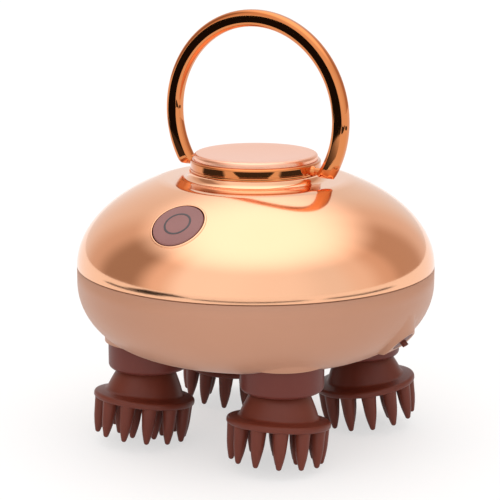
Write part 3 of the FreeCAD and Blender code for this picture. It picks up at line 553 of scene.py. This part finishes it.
innerFinish = {
    "seam_gasket": "seal_rubber", "shaft_seals": "seal_rubber",
    "lower_bushes": "bush_bronze", "upper_bushes": "bush_bronze",
    "collar_screws": "steel", "motor_screws": "steel", "plate_screws": "steel", "board_screws": "steel",
    "motor_can": "steel", "motor_output_shaft": "steel", "drive_gear": "gear_white",
    "gear_plate": "chassis_grey", "motor_gearbox": "chassis_grey", "battery_cradle": "chassis_grey",
    "battery_cell": "cell_wrap", "switch_board": "board_green", "charge_board": "board_green",
    "charge_socket": "black_plastic", "switch_plunger": "black_plastic", "tact_switch": "black_plastic",
    "handle_pivot_pins": "polished_gold", "charge_port_plug": "claw_silicone",
}
for name in headPlaces:
    innerFinish["claw_hub_" + name] = "black_plastic"
    innerFinish["spindle_" + name] = "steel"
    innerFinish["head_gear_" + name] = "gear_white"
for name, slotName in innerFinish.items():
    mesh = nodes[name].data
    mesh.materials.clear()
    mesh.materials.append(finishes[slotName])
print("inner pieces finished:", len(innerFinish))


# floor, light and camera

studio = {"strength": 1.7, "overhead": 1.08, "overheadFrom": 0.58, "overheadFull": 0.98,
          "warmRed": 0.35, "warmBlue": 0.2}
floorLook = {"size": 30.0, "dark": (0.93, 0.93, 0.93), "light": (0.95, 0.95, 0.95), "grain": 3.0,
             "roughness": 0.9, "whiteShare": 0.6}
# light from round about: bearing from the camera's side (right is +), share of the strength, warmth
lightRound = [(-180, 0.55, 0), (-150, 0.48, 0.2), (-125, 0.34, 0.7), (-106, 0.175, 1),
              (-86, 0.175, 1), (-66, 0.45, 0.6), (-46, 0.66, 0), (-20, 0.67, 0),
              (20, 0.63, 0), (52, 0.56, 0), (72, 0.50, 0.3), (92, 0.35, 0.8),
              (106, 0.24, 1), (124, 0.24, 1), (142, 0.40, 0.5), (160, 0.50, 0), (180, 0.55, 0)]
# dark runners on the floor that only reflections see:
# bearing, near end, far end and half width in metres, and how dark
runners = {"ringRunner": (-62.0, 0.60, 1.90, 0.36, 1.0),
           "collarLeftRunner": (-80.0, 0.45, 0.60, 0.27, 0.95),
           "collarFrontRunner": (-4.0, 0.45, 0.60, 0.42, 0.95),
           "collarRightRunner": (66.0, 0.45, 0.60, 0.28, 0.95)}
runnerLook = {"lift": 0.0005, "dark": (0.008, 0.008, 0.008), "light": (0.012, 0.012, 0.012), "grain": 4.0,
              "fadeFrom": 0.05, "fadeFull": 0.35, "long": 100.0}
view = {"azimuth": 31.82, "elevation": 12.56, "distance": 0.64, "aimHeight": 0.06127, "aimRight": -0.00187,
        "lens": 141.77, "sensor": 36.0, "far": 100.0}


def makeFloor():
    bm = bmesh.new()
    bmesh.ops.create_grid(bm, x_segments=1, y_segments=1, size=floorLook["size"])
    mesh = bpy.data.meshes.new("floor")
    bm.to_mesh(mesh)
    bm.free()
    floor = bpy.data.objects.new("floor", mesh)
    bpy.context.scene.collection.objects.link(floor)
    mat, tree, shader = blank("paleFloor")
    noise = objectNoise(tree, floorLook["grain"], mottleDetail)
    blendColours(tree, shader, noise, floorLook["dark"], floorLook["light"])
    shader.inputs["Roughness"].default_value = floorLook["roughness"]
    shader.inputs["Specular IOR Level"].default_value = 0.0
    # part of what the camera and the reflections see of the floor is plain white, the rest has the shadow
    white = tree.nodes.new("ShaderNodeEmission")
    rays = tree.nodes.new("ShaderNodeLightPath")
    seen = tree.nodes.new("ShaderNodeMath")
    shown = tree.nodes.new("ShaderNodeMath")
    share = tree.nodes.new("ShaderNodeMath")
    share.operation = "MULTIPLY"
    share.use_clamp = True
    share.inputs[1].default_value = floorLook["whiteShare"]
    blend = tree.nodes.new("ShaderNodeMixShader")
    tree.links.new(rays.outputs["Is Camera Ray"], seen.inputs[0])
    tree.links.new(rays.outputs["Is Glossy Ray"], seen.inputs[1])
    tree.links.new(seen.outputs["Value"], shown.inputs[0])
    tree.links.new(rays.outputs["Is Transmission Ray"], shown.inputs[1])
    tree.links.new(shown.outputs["Value"], share.inputs[0])
    tree.links.new(share.outputs["Value"], blend.inputs["Fac"])
    tree.links.new(shader.outputs["BSDF"], blend.inputs[1])
    tree.links.new(white.outputs["Emission"], blend.inputs[2])
    tree.links.new(blend.outputs["Shader"], tree.nodes["Material Output"].inputs["Surface"])
    mesh.materials.append(mat)


def makeWorld():
    # a bright ceiling, a broad soft light in front, dark warm sides and a paler back
    world = bpy.data.worlds.new("studio")
    bpy.context.scene.world = world
    world.use_nodes = True
    tree = world.node_tree
    light = tree.nodes["Background"]
    coords = tree.nodes.new("ShaderNodeTexCoord")
    facing = tree.nodes.new("ShaderNodeMapping")
    facing.inputs["Rotation"].default_value = (0, 0, math.radians(90 - view["azimuth"]))
    around = tree.nodes.new("ShaderNodeTexGradient")
    around.gradient_type = "RADIAL"
    sides = tree.nodes.new("ShaderNodeValToRGB")
    sides.color_ramp.interpolation = "EASE"
    for i, (bearing, share, warmth) in enumerate(lightRound):
        place = bearing / 360 + 0.5
        stop = sides.color_ramp.elements[i] if i < 2 else sides.color_ramp.elements.new(place)
        stop.position = place
        red = share * (1 + studio["warmRed"] * warmth)
        blue = share * (1 - studio["warmBlue"] * warmth)
        stop.color = (red, share, blue, 1)
    split = tree.nodes.new("ShaderNodeSeparateXYZ")
    climb = tree.nodes.new("ShaderNodeMapRange")
    climb.interpolation_type = "SMOOTHSTEP"
    climb.inputs["From Min"].default_value = studio["overheadFrom"]
    climb.inputs["From Max"].default_value = studio["overheadFull"]
    above = tree.nodes.new("ShaderNodeMix")
    above.data_type = "RGBA"
    above.inputs["B"].default_value = (studio["overhead"], studio["overhead"], studio["overhead"], 1)
    light.inputs["Strength"].default_value = studio["strength"]
    tree.links.new(coords.outputs["Generated"], facing.inputs["Vector"])
    tree.links.new(facing.outputs["Vector"], around.inputs["Vector"])
    tree.links.new(around.outputs["Fac"], sides.inputs["Fac"])
    tree.links.new(coords.outputs["Generated"], split.inputs["Vector"])
    tree.links.new(split.outputs["Z"], climb.inputs["Value"])
    tree.links.new(climb.outputs["Result"], above.inputs["Factor"])
    tree.links.new(sides.outputs["Color"], above.inputs["A"])
    tree.links.new(above.outputs["Result"], light.inputs["Color"])


def makeRunners():
    for name, (bearing, near, far, halfWidth, most) in runners.items():
        a = math.radians(view["azimuth"] + bearing)
        away = Vector((math.sin(a), -math.cos(a), 0))
        side = Vector((math.cos(a), math.sin(a), 0))
        halfLength = (far - near) / 2
        middle = away * (near + halfLength) + Vector((0, 0, runnerLook["lift"]))
        bm = bmesh.new()
        bmesh.ops.create_grid(bm, x_segments=1, y_segments=1, size=1.0)
        place = Matrix((side * halfWidth, -away * halfLength, Vector((0, 0, 1)))).transposed().to_4x4()
        place.translation = middle
        bmesh.ops.transform(bm, matrix=place, verts=bm.verts)
        mesh = bpy.data.meshes.new(name)
        bm.to_mesh(mesh)
        bm.free()
        obj = bpy.data.objects.new(name, mesh)
        bpy.context.scene.collection.objects.link(obj)
        mat, tree, shader = blank(name)
        noise = objectNoise(tree, runnerLook["grain"], mottleDetail)
        blendColours(tree, shader, noise, runnerLook["dark"], runnerLook["light"])
        shader.inputs["Specular IOR Level"].default_value = 0.0
        # the long edges fade out
        coords = tree.nodes.new("ShaderNodeTexCoord")
        fit = tree.nodes.new("ShaderNodeMapping")
        fit.vector_type = "TEXTURE"
        fit.inputs["Location"].default_value = middle
        fit.inputs["Rotation"].default_value = (0, 0, a)
        fit.inputs["Scale"].default_value = (halfWidth, runnerLook["long"], 1.0)
        patch = tree.nodes.new("ShaderNodeTexGradient")
        patch.gradient_type = "SPHERICAL"
        fade = tree.nodes.new("ShaderNodeMapRange")
        fade.interpolation_type = "SMOOTHSTEP"
        fade.inputs["From Min"].default_value = runnerLook["fadeFrom"]
        fade.inputs["From Max"].default_value = runnerLook["fadeFull"]
        fade.inputs["To Max"].default_value = most
        clear = tree.nodes.new("ShaderNodeBsdfTransparent")
        blend = tree.nodes.new("ShaderNodeMixShader")
        tree.links.new(coords.outputs["Object"], fit.inputs["Vector"])
        tree.links.new(fit.outputs["Vector"], patch.inputs["Vector"])
        tree.links.new(patch.outputs["Fac"], fade.inputs["Value"])
        tree.links.new(fade.outputs["Result"], blend.inputs["Fac"])
        tree.links.new(clear.outputs["BSDF"], blend.inputs[1])
        tree.links.new(shader.outputs["BSDF"], blend.inputs[2])
        tree.links.new(blend.outputs["Shader"], tree.nodes["Material Output"].inputs["Surface"])
        mesh.materials.append(mat)
        obj.visible_camera = False
        obj.visible_diffuse = False
        obj.visible_shadow = False


def makeCamera():
    a = math.radians(view["azimuth"])
    e = math.radians(view["elevation"])
    back = Vector((math.sin(a) * math.cos(e), -math.cos(a) * math.cos(e), math.sin(e)))
    right = Vector((math.cos(a), math.sin(a), 0))
    camera = bpy.data.objects.new("camera", bpy.data.cameras.new("camera"))
    bpy.context.scene.collection.objects.link(camera)
    camera.location = Vector((0, 0, view["aimHeight"])) + right * view["aimRight"] + back * view["distance"]
    camera.rotation_euler = (-back).to_track_quat("-Z", "Y").to_euler()
    camera.data.lens = view["lens"]
    camera.data.sensor_width = view["sensor"]
    camera.data.clip_end = view["far"]
    bpy.context.scene.camera = camera


makeFloor()
makeWorld()
makeRunners()
makeCamera()
bpy.context.scene.view_settings.view_transform = "Standard"
print("stage made")
